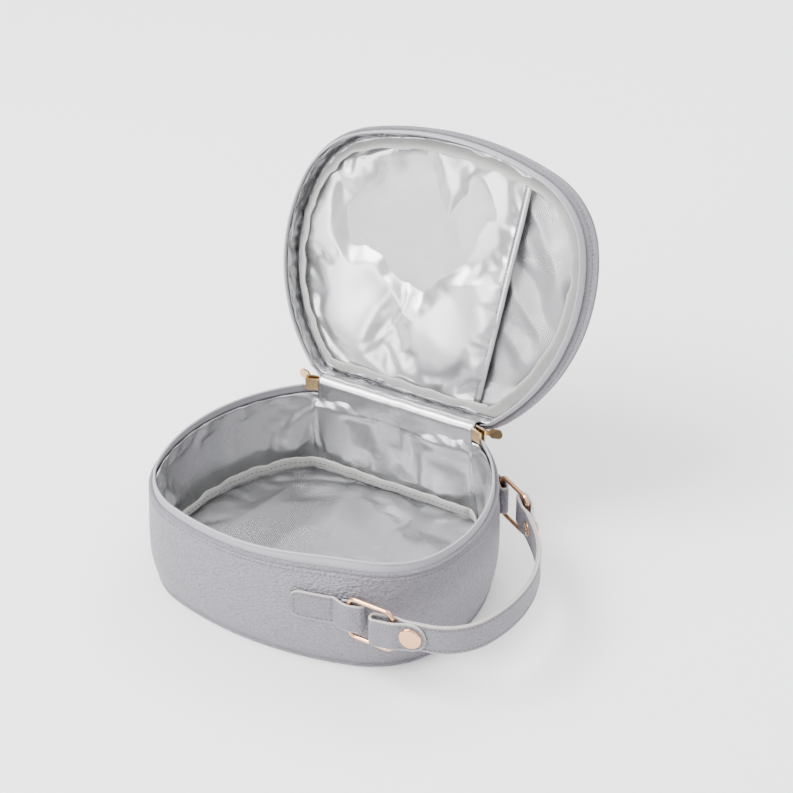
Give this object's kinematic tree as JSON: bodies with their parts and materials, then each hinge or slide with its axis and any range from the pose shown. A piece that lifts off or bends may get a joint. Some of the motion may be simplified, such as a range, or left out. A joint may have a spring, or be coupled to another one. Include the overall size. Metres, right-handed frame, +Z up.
{
  "type": "insulated cooler bag",
  "caption": "Oval insulated cooler bag with a foil-lined compartment, a zip-round hinged lid with an inner pocket, and a strap handle on wire rings at one side.",
  "frame": {"origin": "centre of the underside of the base, on the surface the bag lies on", "axes": "+X along the lid's hinge towards the handle, +Y towards the hinge, +Z up"},
  "size_m": [0.2723, 0.2896, 0.2454],
  "materials": {
    "leather": "pebbled, low sheen",
    "foil_lining": "metallised, soft gloss",
    "zip_tape": "woven, matt",
    "binding_tape": "woven, satin",
    "foam": "matt closed-cell foam",
    "board": "matt",
    "rose_gold_metal": "polished rose gold plating"
  },
  "bodies": {
    "body": {"base_panel": "leather", "base_board": "board", "base_foam": "foam", "base_lining": "foil_lining", "base_piping": "leather", "body_wall": "leather", "body_foam": "foam", "body_wall_lining": "foil_lining", "body_back_lining": "foil_lining", "body_binding": "binding_tape", "body_rim_piping": "leather", "body_zip_tape": "zip_tape", "body_zip_coil": "zip_tape", "left_zip_slider": "rose_gold_metal", "right_zip_slider": "rose_gold_metal", "hinge_panel": "leather", "hinge_lining": "foil_lining", "front_ring_tab": "leather", "rear_ring_tab": "leather"},
    "lid": {"lid_panel": "leather", "lid_board": "board", "lid_foam": "foam", "lid_lining": "foil_lining", "lid_piping": "leather", "lid_wall": "leather", "lid_wall_foam": "foam", "lid_wall_lining": "foil_lining", "lid_back_lining": "foil_lining", "lid_binding": "binding_tape", "lid_rim_piping": "leather", "lid_zip_tape": "zip_tape", "lid_zip_coil": "zip_tape", "lid_pocket": "foil_lining"},
    "left_pull": {"left_zip_pull": "rose_gold_metal"},
    "right_pull": {"right_zip_pull": "rose_gold_metal"},
    "front_ring": {"front_ring": "rose_gold_metal"},
    "rear_ring": {"rear_ring": "rose_gold_metal"},
    "handle": {"handle_strap": "leather", "handle_backing": "leather", "front_rivet_cap": "rose_gold_metal", "front_rivet_post": "rose_gold_metal", "rear_rivet_cap": "rose_gold_metal", "rear_rivet_post": "rose_gold_metal"}
  },
  "joints": [
    {"name": "lid_hinge", "type": "hinge", "parent": "body", "child": "lid", "pos_m": [0, 0.0935, 0.077], "axis": [1, 0, 0], "range_deg": [0, 114], "deforming": ["hinge_panel", "hinge_lining"]},
    {"name": "front_ring_pivot", "type": "hinge", "parent": "body", "child": "front_ring", "pos_m": [0.06825, -0.0875, 0.046], "axis": [0, 0, 1], "range_deg": [-14, 14]},
    {"name": "handle_pivot", "type": "hinge", "parent": "front_ring", "child": "handle", "pos_m": [0.10022, -0.08889, 0.046], "axis": [0, 0, 1], "range_deg": [-16, 16]},
    {"name": "rear_ring_pivot", "type": "hinge", "parent": "body", "child": "rear_ring", "pos_m": [0.08935, 0.07674, 0.046], "axis": [0, 0, 1], "range_deg": [-16, 16]},
    {"name": "left_pull_pivot", "type": "hinge", "parent": "body", "child": "left_pull", "pos_m": [-0.06628, 0.09365, 0.077], "axis": [0, 0, -1], "range_deg": [-25, 25]},
    {"name": "right_pull_pivot", "type": "hinge", "parent": "body", "child": "right_pull", "pos_m": [0.06628, 0.09365, 0.077], "axis": [0, 0, 1], "range_deg": [-25, 25]}
  ],
  "couplings": [
    {"joint": "handle_pivot", "follows": "front_ring_pivot", "ratio": -1.112},
    {"joint": "rear_ring_pivot", "follows": "front_ring_pivot", "ratio": 1.098}
  ]
}
